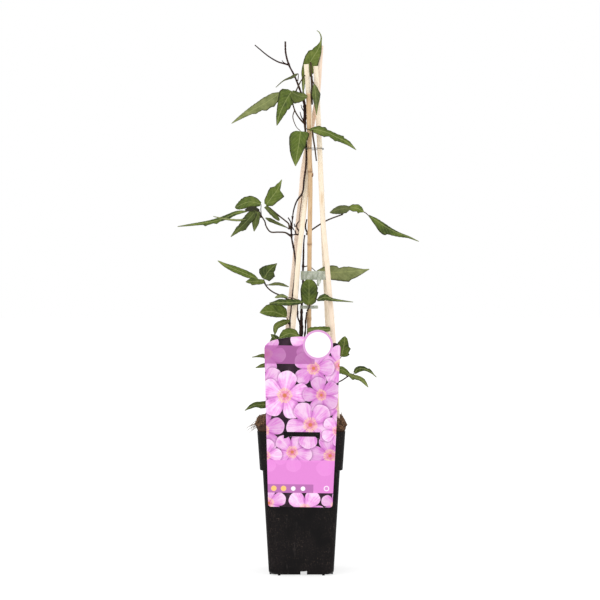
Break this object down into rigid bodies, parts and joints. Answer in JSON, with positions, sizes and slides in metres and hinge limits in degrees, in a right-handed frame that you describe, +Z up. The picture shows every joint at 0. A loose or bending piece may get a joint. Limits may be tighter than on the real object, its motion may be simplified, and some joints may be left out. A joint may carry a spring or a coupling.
{
  "type": "potted clematis plant",
  "caption": "Young climbing clematis, its dark stems tied to split-bamboo stakes and a cane, with toothed leaves, in a square black nursery pot with a hooked plant label.",
  "frame": {"origin": "under the middle of the pot, on the surface that the pot stands on", "axes": "+Z up along the plant, -Y towards the front of the label"},
  "size_m": [0.3022, 0.1286, 0.6837],
  "materials": {
    "pot_plastic": "satin, dusty",
    "potting_soil": "rough, fibrous",
    "label_card": "printed, satin",
    "split_bamboo": "planed, matt",
    "cane": "satin",
    "tie_wire": "plastic-coated",
    "tie_tape": "translucent",
    "stem": "matt",
    "leaf": "soft satin"
  },
  "bodies": {
    "root": {"pot": "pot_plastic", "soil": "potting_soil", "label": "label_card", "stake_front_left": "split_bamboo", "stake_back_left": "split_bamboo", "stake_front_right": "split_bamboo", "stake_back_right": "split_bamboo", "bamboo_cane": "cane", "wire_tie": "tie_wire", "tape_tie": "tie_tape", "lower_tie": "tie_tape", "stem_left": "stem", "stem_centre": "stem", "stem_short_left": "stem", "stem_short_right": "stem", "leaf_crown": "leaf", "leaf_crown_small": "leaf", "leaf_crown_front": "leaf", "leaf_upper_left": "leaf", "leaf_upper_right": "leaf", "leaf_middle_left_long": "leaf", "leaf_middle_left_short": "leaf", "leaf_middle_right": "leaf", "leaf_lower_left": "leaf", "leaf_centre_front": "leaf", "leaf_centre_left": "leaf", "leaf_right_back": "leaf", "leaf_low_left_upper": "leaf", "leaf_low_left": "leaf", "leaf_behind_lobe": "leaf", "leaf_right_small": "leaf", "leaf_low_right": "leaf", "leaf_beside_label": "leaf", "leaf_foot": "leaf", "leaf_back": "leaf"}
  },
  "joints": []
}
